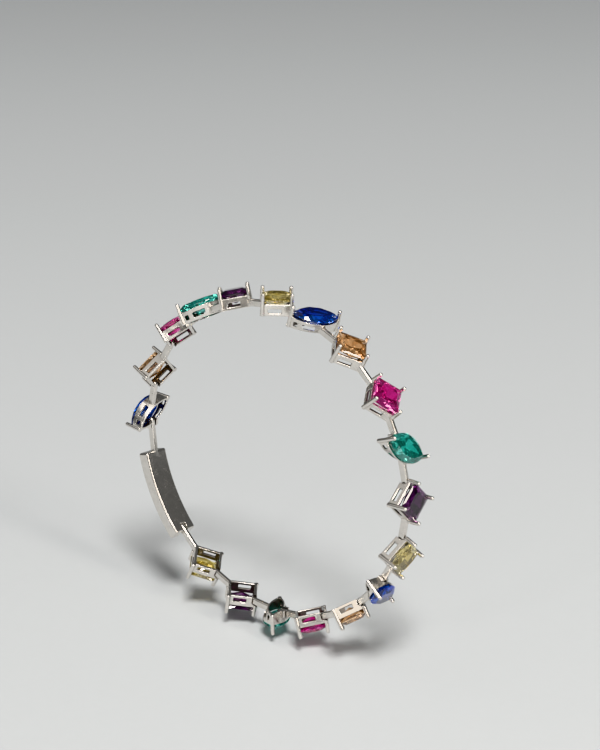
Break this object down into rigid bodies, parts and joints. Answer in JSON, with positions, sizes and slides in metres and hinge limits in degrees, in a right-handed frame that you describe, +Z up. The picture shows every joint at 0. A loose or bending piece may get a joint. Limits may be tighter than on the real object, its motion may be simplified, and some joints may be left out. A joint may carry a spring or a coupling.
{
  "type": "station bracelet",
  "caption": "Slim bracelet of prong-set square and marquise stones in several colours, on short hinged bar links, closed by a plain clasp, in its round worn form.",
  "frame": {"origin": "centre of the loop, on the axis of the wrist that it is worn on", "axes": "+Y along the wrist; +Z up as worn; +X to the side that the middle of the chain faces"},
  "size_m": [0.0654, 0.0076, 0.0602],
  "materials": {
    "silver": "polished rhodium-plated silver",
    "stone_blue": "polished, faceted",
    "stone_orange": "polished, faceted",
    "stone_pink": "polished, faceted",
    "stone_green": "polished, faceted",
    "stone_purple": "polished, faceted",
    "stone_yellow": "polished, faceted"
  },
  "bodies": {
    "root": {"setting_01_blue": "silver", "stone_01_blue": "stone_blue", "setting_02_orange": "silver", "stone_02_orange": "stone_orange", "setting_03_pink": "silver", "stone_03_pink": "stone_pink", "setting_04_green": "silver", "stone_04_green": "stone_green", "setting_05_purple": "silver", "stone_05_purple": "stone_purple", "setting_06_yellow": "silver", "stone_06_yellow": "stone_yellow", "setting_07_blue": "silver", "stone_07_blue": "stone_blue", "setting_08_orange": "silver", "stone_08_orange": "stone_orange", "setting_09_pink": "silver", "stone_09_pink": "stone_pink", "setting_10_green": "silver", "stone_10_green": "stone_green", "setting_11_purple": "silver", "stone_11_purple": "stone_purple", "setting_12_yellow": "silver", "stone_12_yellow": "stone_yellow", "setting_13_blue": "silver", "stone_13_blue": "stone_blue", "setting_14_orange": "silver", "stone_14_orange": "stone_orange", "setting_15_pink": "silver", "stone_15_pink": "stone_pink", "setting_16_green": "silver", "stone_16_green": "stone_green", "setting_17_purple": "silver", "stone_17_purple": "stone_purple", "setting_18_yellow": "silver", "stone_18_yellow": "stone_yellow", "clasp": "silver"}
  },
  "joints": []
}
